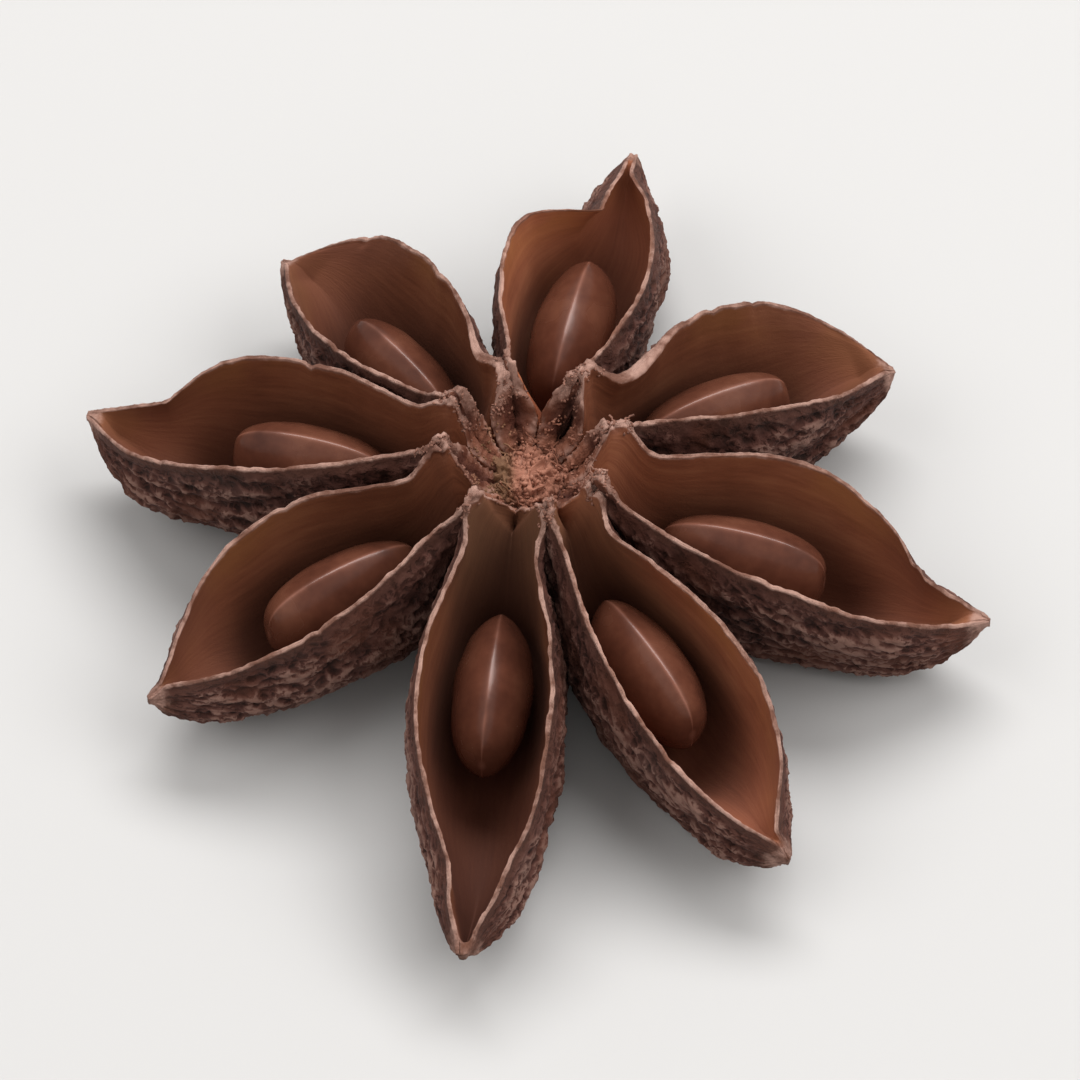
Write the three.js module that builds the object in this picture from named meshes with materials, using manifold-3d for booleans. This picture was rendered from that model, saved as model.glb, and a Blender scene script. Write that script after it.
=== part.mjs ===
// A dried star anise pod, lying with its open side up: eight boat-shaped carpels joined round a
// short column, each split along its top edge, and the flat oval seed that lies in each of them.
//
// Millimetres and degrees, +Z up. The pod lies on z = 0, and the origin is under the middle of
// its outline. Each carpel is a loft of U-shaped sections that stand square to a line from the
// pod's axis out to the carpel's beak. The lofts and the column are joined into one solid, the
// husk. Each seed is a solid of its own.

import * as THREE from "three";
import { mergeVertices } from "three/addons/utils/BufferGeometryUtils.js";
import Module from "manifold-3d";

// ---------------------------------------------------------------- driving dimensions

// The pod's axis, from the middle of its outline.
const AXIS_AT = { x: -0.3, y: 1.6 };

// One edge of a carpel's split. gape: how far it stands from the carpel's midline where it is
// widest. widest, closes: where that is, and where it comes back to the midline, as shares of
// the reach. blunt: how suddenly it comes back. ramp: how slowly it opens from the middle.
const edge = (gape, widest, closes, blunt, ramp) => ({ gape, widest, closes, blunt, ramp });

// bearing: direction of the beak. reach: from the axis to the tip of the beak. tip: its height.
// beak: half its width. seed: its size against the usual one, and how far out its middle lies.
const CARPELS = [
  {
    bearing: 76, reach: 18.9, tip: 4.4, beak: 0.75, seed: { at: 8.8, size: 1 },
    clockwise: edge(2.7, 0.53, 0.93, 2, 1.6), anticlockwise: edge(3.6, 0.54, 0.74, 5, 1.4),
  },
  {
    bearing: 24.9, reach: 17.2, tip: 4.2, beak: 0.5, seed: { at: 8.9, size: 0.98 },
    clockwise: edge(1.8, 0.6, 0.98, 3, 2), anticlockwise: edge(4, 0.66, 1, 2.6, 1.8),
  },
  {
    bearing: -15.3, reach: 20.1, tip: 4, beak: 0.5, seed: { at: 9.4, size: 1 },
    clockwise: edge(3.3, 0.56, 1, 3, 1.2), anticlockwise: edge(3.1, 0.58, 0.86, 2, 2.2),
  },
  {
    bearing: -57.8, reach: 20.2, tip: 4.1, beak: 0.5, seed: { at: 9.5, size: 0.99 },
    clockwise: edge(2.8, 0.57, 0.98, 2.6, 1.5), anticlockwise: edge(2.8, 0.66, 0.95, 2, 2.2),
  },
  {
    bearing: -97.1, reach: 21.7, tip: 3.9, beak: 1, seed: { at: 9.3, size: 0.97 },
    clockwise: edge(3.3, 0.51, 0.9, 2, 1.2), anticlockwise: edge(2.55, 0.58, 0.94, 2.6, 1.8),
  },
  {
    bearing: -149.4, reach: 18.4, tip: 4.3, beak: 0.5, seed: { at: 8.9, size: 1 },
    clockwise: edge(3.4, 0.6, 0.97, 2, 2.4), anticlockwise: edge(2.65, 0.6, 0.97, 2.2, 1.6),
  },
  {
    bearing: 165.2, reach: 19.4, tip: 4.2, beak: 0.5, seed: { at: 9.3, size: 0.98 },
    clockwise: edge(2.6, 0.6, 0.82, 3, 2), anticlockwise: edge(3.4, 0.6, 1, 3, 1.6),
  },
  {
    bearing: 129.7, reach: 16.5, tip: 4.5, beak: 0.5, seed: { at: 8.4, size: 0.93 },
    clockwise: edge(3.6, 0.72, 0.98, 3.5, 1.6), anticlockwise: edge(2.65, 0.58, 0.98, 2.2, 1.2),
  },
];

const EDGE_HEIGHT = 8.8; // the split edges, before they droop to the beak
const DROOP = 2.6; // how late they droop
const HUMP = 0.25; // how far they rise halfway

// The torn hollow in the middle, and the crown that the inner ends of the split edges make
// round it.
const CROWN = { radius: 3.4, width: 1.1, height: 1.4, uneven: 0.3, fused: 0.9 };
const CRATER = { floor: 5.8, from: 2.2, to: 3.1 };

const START_RADIUS = 2.1; // where each loft starts, inside the column

// The underside: its height beside the stalk, the shares of the reach where it meets the table
// and where it leaves it to rise to the beak, and how far a belly would pass the table before
// it is cut flat.
const KEEL = { atStart: 2, flatFrom: 0.42, flatTo: 0.62, risesFrom: 0.58, rise: 2.5, sinks: 0.12 };

// A carpel's body: half its width, how blunt it ends below the beak, how far neighbours press
// into each other beside the column, and how much it leans to the side where its split opens.
const BODY = { reach: 3.1, fullness: 0.66, crowding: 1.06, leans: 0.7 };
const BEAK = { depth: 0.9, width: 0.8, from: 0.5, to: 0.8, end: 1.05 };

// The U-shaped section: how wide its foot and its cheek are drawn, outside and inside, against
// the body's half width, and how high the cheek stands against the section's height.
const SECTION = { foot: 0.85, hollowFoot: 0.8, cheek: 1.2, cheekHeight: 0.5 };

// Lengthwise folds of the dry skin. They fade at the keel, at the edge and at both ends.
const FOLD = { depth: 0.22, count: 1.7, wander: 1.1, twist: 5, offset: 2 };
const FOLD_FADES = { keel: [0.02, 0.3], edge: [0.6, 0.95], start: [0.2, 0.4], beak: [0.85, 1] };

const LIP = { thickness: 0.45, rounding: 0.3, share: 0.6 };
const WALL = { thickness: 0.62, share: 0.72 };
const FLOOR = { thickness: 1.2, atBeak: 0.35, thinsFrom: 0.75 };

// The hollow: the shares of the reach over which it gets shallow towards the beak and deep from
// the middle, and what share of its depth is left there.
const HOLLOW = { closes: [0.6, 0.97], atBeak: 0.16, opens: [0.12, 0.3], atStart: 0.35, least: 0.12 };

// The column in the middle, its crumbled core, and the broken stub of the stalk.
const COLUMN = { radius: 2.5, shoulder: 6.1, core: 1.25, top: 7.3, bottom: 1.6 };
const CRUMBLE = { depth: 0.16, lobes: 5 };
const STALK = { radius: 1.15, end: 0.5 };

const SEED = { length: 7.3, height: 4.9, thickness: 3.3, bottom: 1.75, innerEnd: 0.95, outerEnd: 0.78 };

// Mesh fineness.
const STATIONS = 22;
const STATION_BUNCHING = 0.1; // draws the stations towards the middle and the beak
const OUTER_STEPS = 7;
const INNER_STEPS = 4;
const COLUMN_SIDES = 24;
const SEED_RINGS = 8;
const SEED_SIDES = 14;

// ---------------------------------------------------------------- small helpers

const radians = THREE.MathUtils.degToRad;
const mix = THREE.MathUtils.lerp;
const smooth = (from, to, x) => THREE.MathUtils.smoothstep(x, from, to);
const clamp01 = (x) => THREE.MathUtils.clamp(x, 0, 1);

// The smaller of two lengths, rounded off where they are nearly equal.
function smoothMin(a, b, blend = 0.5) {
  const h = clamp01(0.5 + (0.5 * (b - a)) / blend);
  return mix(b, a, h) - blend * h * (1 - h);
}

// A point of a cubic curve through four control values.
function cubic(p0, p1, p2, p3, v) {
  const w = 1 - v;
  return w * w * w * p0 + 3 * w * w * v * p1 + 3 * w * v * v * p2 + v * v * v * p3;
}

// ---------------------------------------------------------------- one carpel's form

// Each function takes the share s of the reach, 0 on the axis and 1 at the tip of the beak.
// side is -1 for the clockwise half of the carpel and 1 for the anticlockwise half.

const edgeOn = (carpel, side) => (side < 0 ? carpel.clockwise : carpel.anticlockwise);

// 1 on the crown round the middle, fading to 0 inwards and outwards.
const crownShare = (radius) => Math.exp(-(((radius - CROWN.radius) / CROWN.width) ** 2));

function edgeHeight(carpel, side, s) {
  const radius = s * carpel.reach;
  const arch = mix(EDGE_HEIGHT, carpel.tip, Math.pow(s, DROOP)) + HUMP * Math.sin(Math.PI * s);
  const wave = CROWN.uneven * Math.sin(3 * carpel.bearing + 1.9 * side);
  const crown = (CROWN.height + wave) * crownShare(radius);
  return mix(CRATER.floor, arch + crown, smooth(CRATER.from, CRATER.to, radius));
}

function keelHeight(carpel, s) {
  const root = KEEL.atStart * (1 - smooth(START_RADIUS / carpel.reach, KEEL.flatFrom, s));
  const rise = clamp01((s - KEEL.risesFrom) / (1 - KEEL.risesFrom));
  const sinks = KEEL.sinks * (1 - smooth(KEEL.flatTo, BEAK.to, s));
  return root + (carpel.tip - BEAK.depth) * Math.pow(rise, KEEL.rise) - sinks;
}

// How far the outside of a split edge stands from the midline.
function edgeReach(carpel, side, s) {
  const { gape, widest, closes, blunt, ramp } = edgeOn(carpel, side);
  const opening = Math.pow(Math.sin((Math.PI / 2) * clamp01(s / widest)), ramp);
  const closing = 1 - Math.pow(clamp01((s - widest) / (closes - widest)), blunt);
  const beak = carpel.beak * Math.sqrt(clamp01(BEAK.end - s)) * smooth(BEAK.from, BEAK.to, s);
  return Math.hypot(gape * opening * closing, beak);
}

// How far the keel and the body lean to the side that opens more.
function bodyLean(carpel, s) {
  return (BODY.leans * (edgeReach(carpel, 1, s) - edgeReach(carpel, -1, s))) / 2;
}

function bodyReach(carpel, s) {
  const body = BODY.reach * Math.pow(Math.sin(Math.PI * clamp01(s)), BODY.fullness);
  return Math.max(body, BEAK.width * carpel.beak * Math.sqrt(BEAK.end - s));
}

// How deep the hollow is, as a share of the depth it could have.
function hollowShare(s) {
  const towardsBeak = mix(1, HOLLOW.atBeak, smooth(HOLLOW.closes[0], HOLLOW.closes[1], s));
  const fromMiddle = mix(HOLLOW.atStart, 1, smooth(HOLLOW.opens[0], HOLLOW.opens[1], s));
  return towardsBeak * fromMiddle;
}

// How far a fold pushes the outer skin out at v, which is 0 on the keel and 1 on the edge.
function skinFold(carpel, side, s, v) {
  const { keel, edge: top, start, beak } = FOLD_FADES;
  const around = smooth(keel[0], keel[1], v) * (1 - smooth(top[0], top[1], v));
  const along = smooth(start[0], start[1], s) * (1 - smooth(beak[0], beak[1], s));
  const phase = FOLD.wander * Math.sin(FOLD.twist * s + carpel.bearing) + FOLD.offset * side;
  return FOLD.depth * around * along * Math.sin(2 * Math.PI * FOLD.count * v + phase);
}

// Height of the hollow's floor at s.
function floorHeight(carpel, s) {
  const top = (edgeHeight(carpel, -1, s) + edgeHeight(carpel, 1, s)) / 2;
  const thickness = mix(FLOOR.thickness, FLOOR.atBeak, smooth(FLOOR.thinsFrom, 1, s));
  const depth = (top - keelHeight(carpel, s) - thickness) * hollowShare(s);
  return top - Math.max(HOLLOW.least, depth);
}

// One half of the U-shaped section at s: its outer line from keel to edge, its inner line from
// the hollow's floor to the edge, and the top of the edge between them, as points
// [sideways, height].
function halfSection(carpel, side, room, s) {
  const radius = s * carpel.reach;
  const lean = bodyLean(carpel, s);
  const top = edgeHeight(carpel, side, s);
  const keel = keelHeight(carpel, s);
  const floor = floorHeight(carpel, s);

  const edgeSpace = BODY.crowding * radius * Math.tan(room.edge);
  const bodySpace = BODY.crowding * radius * Math.tan(room.body);
  const opened = smoothMin(edgeReach(carpel, side, s), edgeSpace);
  const lipWide = mix(opened, edgeSpace, CROWN.fused * crownShare(radius)) - side * lean;
  const bodyWide = smoothMin(bodyReach(carpel, s), bodySpace);
  const lip = Math.min(LIP.thickness, LIP.share * lipWide);
  const hollowWide = bodyWide - Math.min(WALL.thickness, WALL.share * bodyWide);

  const place = (sideways, z) => [lean + side * sideways, z];
  const line = (steps, foot, wide, edge, bottom, fold) =>
    Array.from({ length: steps + 1 }, (_, i) => {
      const v = i / steps;
      const sideways = cubic(0, foot * wide, SECTION.cheek * wide, edge, v) + fold(v);
      const cheek = mix(bottom, top, SECTION.cheekHeight);
      return place(sideways, cubic(bottom, bottom, cheek, top - LIP.rounding * lip, v));
    });
  return {
    outer: line(OUTER_STEPS, SECTION.foot, bodyWide, lipWide, keel, (v) => skinFold(carpel, side, s, v)),
    inner: line(INNER_STEPS, SECTION.hollowFoot, hollowWide, lipWide - lip, floor, () => 0),
    crown: place(lipWide - lip / 2, top),
  };
}

// The closed section at s, round the outside from the clockwise edge to the other and back
// along the inside.
function section(carpel, rooms, s) {
  const right = halfSection(carpel, -1, rooms.clockwise, s);
  const left = halfSection(carpel, 1, rooms.anticlockwise, s);
  return [
    right.crown,
    ...right.outer.toReversed(),
    ...left.outer.slice(1),
    left.crown,
    ...left.inner.toReversed(),
    ...right.inner.slice(1),
  ];
}

// ---------------------------------------------------------------- meshes from rings of points

// Joins rings of equally many points into a closed surface, with both ends filled in.
function loft(rings) {
  const size = rings[0].length;
  const corners = [];
  for (let k = 0; k + 1 < rings.length; k++) {
    for (let j = 0; j < size; j++) {
      const next = (j + 1) % size;
      const [a, b] = [k * size + j, k * size + next];
      corners.push(a, b, b + size, a, b + size, a + size);
    }
  }
  return { points: rings.flat(), corners, size, ends: [0, rings.length - 1] };
}

function geometryOf(points, corners) {
  const geometry = new THREE.BufferGeometry();
  geometry.setAttribute("position", new THREE.Float32BufferAttribute(points.flat(), 3));
  geometry.setIndex(corners);
  return geometry;
}

function carpelGeometry(carpel, rooms) {
  const turn = radians(carpel.bearing);
  const sections = [];
  for (let k = 0; k < STATIONS; k++) {
    const share = k / (STATIONS - 1);
    const bunched = share - STATION_BUNCHING * Math.sin(2 * Math.PI * share);
    const s = mix(START_RADIUS / carpel.reach, 1, bunched);
    sections.push({ s, loop: section(carpel, rooms, s) });
  }
  const rings = sections.map(({ s, loop }) =>
    loop.map(([sideways, z]) => {
      const radius = s * carpel.reach;
      return [
        radius * Math.cos(turn) - sideways * Math.sin(turn),
        radius * Math.sin(turn) + sideways * Math.cos(turn),
        z,
      ];
    }),
  );
  const { points, corners, size, ends } = loft(rings);
  for (const end of ends) {
    const outline = sections[end].loop.map(([sideways, z]) => new THREE.Vector2(sideways, z));
    const base = end * size;
    for (const [a, b, c] of THREE.ShapeUtils.triangulateShape(outline, [])) {
      corners.push(...(end === 0 ? [base + a, base + c, base + b] : [base + a, base + b, base + c]));
    }
  }
  return geometryOf(points, corners);
}

// The column with its crumbled core, and the stub of the stalk below it.
function columnGeometry() {
  const profile = [
    [0, STALK.end],
    [0.8 * STALK.radius, STALK.end],
    [STALK.radius, STALK.end + 0.25],
    [0.85 * STALK.radius, COLUMN.bottom],
    [COLUMN.radius, COLUMN.bottom + 0.9],
    [COLUMN.radius, COLUMN.shoulder - 0.6],
    [0.9 * COLUMN.radius, COLUMN.shoulder],
    [COLUMN.core + 0.3, COLUMN.shoulder + 0.3],
    [COLUMN.core, COLUMN.top - 0.3],
    [0.6 * COLUMN.core, COLUMN.top],
    [0, COLUMN.top - 0.2],
  ].map(([radius, z]) => new THREE.Vector2(radius, z));
  const column = new THREE.LatheGeometry(profile, COLUMN_SIDES).rotateX(Math.PI / 2);
  const points = column.attributes.position;
  for (let i = 0; i < points.count; i++) {
    const [x, y, z] = [points.getX(i), points.getY(i), points.getZ(i)];
    const loose = smooth(COLUMN.shoulder - 0.1, COLUMN.shoulder + 0.3, z);
    const lobe = CRUMBLE.depth * loose * Math.sin(CRUMBLE.lobes * Math.atan2(y, x) + z);
    points.setXYZ(i, x * (1 + lobe), y * (1 + lobe), z);
  }
  return column;
}

// A flat oval seed standing on its edge, its long way along x, a little pointed at the inner end.
function seedGeometry(scale) {
  const rings = [];
  for (let k = 1; k < SEED_RINGS; k++) {
    const angle = (Math.PI * k) / SEED_RINGS;
    const along = -Math.cos(angle);
    const full = Math.pow(Math.sin(angle), mix(SEED.innerEnd, SEED.outerEnd, (1 + along) / 2));
    const ring = [];
    for (let j = 0; j < SEED_SIDES; j++) {
      const turn = (2 * Math.PI * j) / SEED_SIDES;
      ring.push([
        0.5 * scale * SEED.length * along,
        0.5 * scale * SEED.thickness * full * Math.cos(turn),
        0.5 * scale * SEED.height * full * Math.sin(turn),
      ]);
    }
    rings.push(ring);
  }
  const { points, corners, size } = loft(rings);
  const [innerEnd, outerEnd] = [points.length, points.length + 1];
  const last = (rings.length - 1) * size;
  points.push([-0.5 * scale * SEED.length, 0, 0], [0.5 * scale * SEED.length, 0, 0]);
  for (let j = 0; j < size; j++) {
    const next = (j + 1) % size;
    corners.push(innerEnd, next, j, outerEnd, last + j, last + next);
  }
  return geometryOf(points, corners);
}

// ---------------------------------------------------------------- joining

const wasm = await Module();
wasm.setup();

function solidOf(geometry) {
  const bare = geometry.clone();
  bare.deleteAttribute("normal");
  bare.deleteAttribute("uv");
  const merged = mergeVertices(bare, 1e-4);
  return new wasm.Manifold(
    new wasm.Mesh({
      numProp: 3,
      vertProperties: new Float32Array(merged.attributes.position.array),
      triVerts: new Uint32Array(merged.index.array),
    }),
  );
}

function geometryOfSolid(solid) {
  const mesh = solid.getMesh();
  const geometry = new THREE.BufferGeometry();
  geometry.setAttribute("position", new THREE.BufferAttribute(mesh.vertProperties, 3));
  geometry.setIndex(new THREE.BufferAttribute(mesh.triVerts, 1));
  return geometry;
}

// The angle that each side of a carpel has before it meets its neighbour. The split edges
// share it by their gapes, and the bodies share it evenly.
function roomsBeside(index) {
  const at = (i) => CARPELS[(i + CARPELS.length) % CARPELS.length];
  const [mine, before, after] = [at(index), at(index - 1), at(index + 1)];
  const angle = (a, b) => radians(THREE.MathUtils.euclideanModulo(a.bearing - b.bearing, 360));
  const share = (own, other) => own.gape / (own.gape + other.gape);
  const clockwise = angle(mine, after);
  const anticlockwise = angle(before, mine);
  return {
    clockwise: {
      edge: clockwise * share(mine.clockwise, after.anticlockwise),
      body: clockwise / 2,
    },
    anticlockwise: {
      edge: anticlockwise * share(mine.anticlockwise, before.clockwise),
      body: anticlockwise / 2,
    },
  };
}

function huskGeometry() {
  let husk = solidOf(columnGeometry());
  CARPELS.forEach((carpel, index) => {
    husk = husk.add(solidOf(carpelGeometry(carpel, roomsBeside(index))));
  });
  const belowTable = new THREE.BoxGeometry(60, 60, 5).translate(0, 0, -2.5);
  return geometryOfSolid(husk.subtract(solidOf(belowTable)));
}

// ---------------------------------------------------------------- the pod

const huskMaterial = new THREE.MeshStandardMaterial({
  color: new THREE.Color(0.24, 0.14, 0.1),
  roughness: 0.8,
  metalness: 0,
});
const seedMaterial = new THREE.MeshStandardMaterial({
  color: new THREE.Color(0.33, 0.16, 0.09),
  roughness: 0.25,
  metalness: 0,
});

const pod = new THREE.Group();
pod.position.set(AXIS_AT.x, AXIS_AT.y, 0);

const husk = new THREE.Mesh(huskGeometry(), huskMaterial);
husk.name = "husk";
pod.add(husk);

CARPELS.forEach((carpel, index) => {
  const arm = new THREE.Group();
  arm.rotation.z = radians(carpel.bearing);
  const { at, size } = carpel.seed;
  const seed = new THREE.Mesh(seedGeometry(size), seedMaterial);
  seed.name = `seed_${index + 1}`;
  seed.position.set(at, bodyLean(carpel, at / carpel.reach), SEED.bottom + (size * SEED.height) / 2);
  arm.add(seed);
  pod.add(arm);
});

export default pod;
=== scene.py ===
# %% [markdown]
# # A dried star anise pod
#
# Star anise is the dried fruit of a small evergreen tree. It is a star of woody boats, the
# carpels, joined round a short column. Each boat has dried and split open along its top edge,
# and a polished seed lies in it.
#
# This lesson builds it in six steps: a studio, the colours, the carpels, their dried skin, the
# crumbled middle and the seeds. What follows a rule is made by Geometry Nodes. Lengths are
# millimetres until a mesh is written, because that is how a pod is measured.

# %% Load the fixed frame
import math
from collections import namedtuple

import bpy
import numpy as np
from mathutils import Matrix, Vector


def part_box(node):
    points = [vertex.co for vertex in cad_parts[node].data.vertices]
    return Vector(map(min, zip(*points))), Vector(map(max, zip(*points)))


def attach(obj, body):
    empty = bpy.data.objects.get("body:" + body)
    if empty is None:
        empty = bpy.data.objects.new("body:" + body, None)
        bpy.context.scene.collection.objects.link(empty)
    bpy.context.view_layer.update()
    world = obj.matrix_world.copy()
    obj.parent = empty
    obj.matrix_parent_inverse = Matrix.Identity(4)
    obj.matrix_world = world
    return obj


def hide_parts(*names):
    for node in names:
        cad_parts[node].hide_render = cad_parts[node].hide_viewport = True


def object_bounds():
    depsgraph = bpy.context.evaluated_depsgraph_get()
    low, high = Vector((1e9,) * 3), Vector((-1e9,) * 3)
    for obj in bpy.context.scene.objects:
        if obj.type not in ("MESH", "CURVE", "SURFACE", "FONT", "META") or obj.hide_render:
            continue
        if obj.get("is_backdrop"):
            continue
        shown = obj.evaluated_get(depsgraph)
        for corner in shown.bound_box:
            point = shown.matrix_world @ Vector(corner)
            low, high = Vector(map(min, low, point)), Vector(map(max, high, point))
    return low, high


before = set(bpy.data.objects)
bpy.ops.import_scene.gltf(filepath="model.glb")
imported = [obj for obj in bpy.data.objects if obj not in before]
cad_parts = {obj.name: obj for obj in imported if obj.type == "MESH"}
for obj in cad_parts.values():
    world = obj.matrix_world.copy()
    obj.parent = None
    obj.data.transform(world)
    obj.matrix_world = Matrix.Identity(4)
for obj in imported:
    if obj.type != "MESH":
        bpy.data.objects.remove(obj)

MM = 0.001  # one millimetre in metres
cad_low, cad_high = (np.array(corner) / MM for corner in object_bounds())
print("frame box in mm:", cad_low.round(2), cad_high.round(2))

# %% [markdown]
# ## A short way to write node trees
#
# Materials and Geometry Nodes are both trees of nodes, and sums are tiresome in them. Two small
# classes help. A Wire is a node's output that can be added, multiplied and so on as a number
# can, and every such sum adds its Math node. A Board makes all other nodes by one method: the
# node's type, then its settings, then what goes into its inputs.


# %% Wires and boards
class Wire:
    """A node's output, for use in sums."""

    def __init__(self, board, socket):
        self.board = board
        self.socket = socket

    def also(self, name):
        """Another output of the same node."""
        return Wire(self.board, self.socket.node.outputs[name])

    def __add__(self, other):
        return self.board.maths("ADD", self, other)

    def __sub__(self, other):
        return self.board.maths("SUBTRACT", self, other)

    def __rsub__(self, other):
        return self.board.maths("SUBTRACT", other, self)

    def __mul__(self, other):
        return self.board.maths("MULTIPLY", self, other)

    def __truediv__(self, other):
        return self.board.maths("DIVIDE", self, other)

    def __rtruediv__(self, other):
        return self.board.maths("DIVIDE", other, self)

    def __pow__(self, other):
        return self.board.maths("POWER", self, other)

    __radd__ = __add__
    __rmul__ = __mul__


class Board:
    """One node tree and the ways to add to it."""

    def __init__(self, tree):
        self.tree = tree

    def add(self, kind, settings=None, inputs=None, out=0):
        """Adds a node of this type, with its settings set before the values or links of its inputs."""
        node = self.tree.nodes.new(kind)
        for name, value in (settings or {}).items():
            if name == "stops":
                self.set_stops(node.color_ramp, value)
            else:
                setattr(node, name, value)
        for name, value in (inputs or {}).items():
            if isinstance(value, Wire):
                self.tree.links.new(value.socket, node.inputs[name])
            else:
                node.inputs[name].default_value = value
        return Wire(self, node.outputs[out]) if len(node.outputs) else node

    def set_stops(self, ramp, stops):
        while len(ramp.elements) < len(stops):
            ramp.elements.new(0.5)
        for element, (place, colour) in zip(ramp.elements, stops):
            element.position = place
            element.color = (*colour, 1)

    def maths(self, operation, *values):
        return self.add("ShaderNodeMath", {"operation": operation}, dict(enumerate(values)))

    def between(self, value, low, high):
        """0 below low, 1 above high, and a smooth rise between them."""
        inputs = {"Value": value, "From Min": low, "From Max": high}
        return self.add("ShaderNodeMapRange", {"interpolation_type": "SMOOTHSTEP"}, inputs)

    def noise(self, vector, scale, detail=2.0, roughness=0.5):
        inputs = {"Vector": vector, "Scale": scale, "Detail": detail, "Roughness": roughness}
        return self.add("ShaderNodeTexNoise", inputs=inputs)

    def cells(self, vector, scale):
        """The distance to the nearest edge between uneven cells: 0 on the edge, about 0.5 inside."""
        settings = {"feature": "DISTANCE_TO_EDGE"}
        return self.add("ShaderNodeTexVoronoi", settings, {"Vector": vector, "Scale": scale})

    def ridges(self, noise, sharpness):
        """Crests, 1 high, where a noise passes its middle value."""
        away = self.maths("ABSOLUTE", noise - 0.5) * sharpness
        return self.maths("MAXIMUM", 1 - away, 0.0)

    def scaled(self, vector, share):
        inputs = {0: vector, "Scale": share}
        return self.add("ShaderNodeVectorMath", {"operation": "SCALE"}, inputs)

    def blend(self, share, first, second):
        """Two colours mixed."""
        inputs = {0: share, 6: first, 7: second}
        return self.add("ShaderNodeMix", {"data_type": "RGBA"}, inputs, out=2)

    def ramp(self, value, *stops):
        """The colour of a value, from stops of (place, colour)."""
        return self.add("ShaderNodeValToRGB", {"stops": stops}, {"Fac": value})

    def bump(self, height, strength, depth):
        """A normal with fine relief, this many mm deep."""
        inputs = {"Strength": strength, "Distance": depth * MM, "Height": height}
        return self.add("ShaderNodeBump", inputs=inputs)

    def vector(self, x, y, z):
        return self.add("ShaderNodeCombineXYZ", inputs={0: x, 1: y, 2: z})

    def split(self, vector):
        """The three numbers of a vector."""
        x = self.add("ShaderNodeSeparateXYZ", inputs={0: vector})
        return x, x.also("Y"), x.also("Z")

    def vector_maths(self, operation, first, second):
        return self.add("ShaderNodeVectorMath", {"operation": operation}, {0: first, 1: second})

    def grain(self, name):
        """A number stored on the points, read in a material."""
        return self.add("ShaderNodeAttribute", {"attribute_name": name}, out="Fac")

    def stored(self, name):
        """The same, read in a Geometry Nodes tree."""
        settings = {"data_type": "FLOAT"}
        return self.add("GeometryNodeInputNamedAttribute", settings, {"Name": name})

    def store(self, geometry, name, value):
        """Stores a number on the points of a geometry."""
        settings = {"data_type": "FLOAT", "domain": "POINT"}
        inputs = {"Geometry": geometry, "Name": name, "Value": value}
        return self.add("GeometryNodeStoreNamedAttribute", settings, inputs)

    def shifted(self, geometry, offset):
        inputs = {"Geometry": geometry, "Offset": offset}
        return self.add("GeometryNodeSetPosition", inputs=inputs)


print("node helpers are ready")

# %% [markdown]
# A Geometry Nodes tree is built once and then run on as many pieces as are needed. The tree's
# inputs have names and usual values, and a run may change them. The result is read back as a
# plain mesh, so that no live modifier is left on a piece.


# %% Building and running a Geometry Nodes tree
def new_growth(title, **usual):
    """A Geometry Nodes tree with these named inputs. Returns its board and a wire for each input."""
    tree = bpy.data.node_groups.new(title, "GeometryNodeTree")
    for way in ("OUTPUT", "INPUT"):
        tree.interface.new_socket("Geometry", in_out=way, socket_type="NodeSocketGeometry")
    kinds = {float: "NodeSocketFloat", int: "NodeSocketInt", tuple: "NodeSocketVector"}
    for name, value in usual.items():
        kind = kinds.get(type(value), "NodeSocketMaterial")
        socket = tree.interface.new_socket(name, in_out="INPUT", socket_type=kind)
        socket.default_value = value
    board = Board(tree)
    first = board.add("NodeGroupInput")
    return board, first, {name: first.also(name) for name in usual}


def close_growth(board, geometry, material):
    """Ends a tree: real geometry with its material."""
    real = board.add("GeometryNodeRealizeInstances", inputs={"Geometry": geometry})
    dressed = board.add("GeometryNodeSetMaterial", inputs={"Geometry": real, "Material": material})
    board.add("NodeGroupOutput", inputs={"Geometry": dressed})
    return board.tree


def new_object(name, data):
    thing = bpy.data.objects.new(name, data)
    bpy.context.scene.collection.objects.link(thing)
    return thing


def grow(name, mesh, tree, **values):
    """Runs a tree on a mesh and returns a new object that holds the result."""
    carrier = new_object(name + "_carrier", mesh)
    modifier = carrier.modifiers.new("growth", "NODES")
    modifier.node_group = tree
    for item in tree.interface.items_tree:
        if item.in_out == "INPUT" and item.name in values:
            modifier[item.identifier] = values[item.name]
    now = bpy.context.evaluated_depsgraph_get()
    grown = bpy.data.meshes.new_from_object(carrier.evaluated_get(now), depsgraph=now)
    bpy.data.objects.remove(carrier)
    grown.name = name
    return new_object(name, grown)


def points_of(mesh):
    places = np.empty(len(mesh.vertices) * 3, np.float32)
    mesh.vertices.foreach_get("co", places)
    return places.reshape(-1, 3)


def finish_piece(piece, slot, *nodes):
    """Keeps a piece in its box, smooths its shading and ties it to the frame."""
    # The box flattens the belly on the table, and a speck that stands too high or too far out.
    places = np.clip(points_of(piece.data), cad_low * MM, cad_high * MM)
    piece.data.vertices.foreach_set("co", places.astype(np.float32).ravel())
    piece.data.update()
    piece.data.shade_smooth()
    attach(piece, "root")
    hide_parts(*nodes)
    triangles = sum(len(face.vertices) - 2 for face in piece.data.polygons)
    print(f"{piece.name}: {triangles} triangles")


# %% [markdown]
# ## The studio
#
# The pod lies on a pale table. A long soft light hangs behind it and crosswise, so that the top
# ridge of each seed carries a thin highlight. Weak lights in front and at the sides fill the
# hollows, with a pale sky. They leave no mirror images, which would blur that one highlight.
# The camera looks down into the open side.

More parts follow.
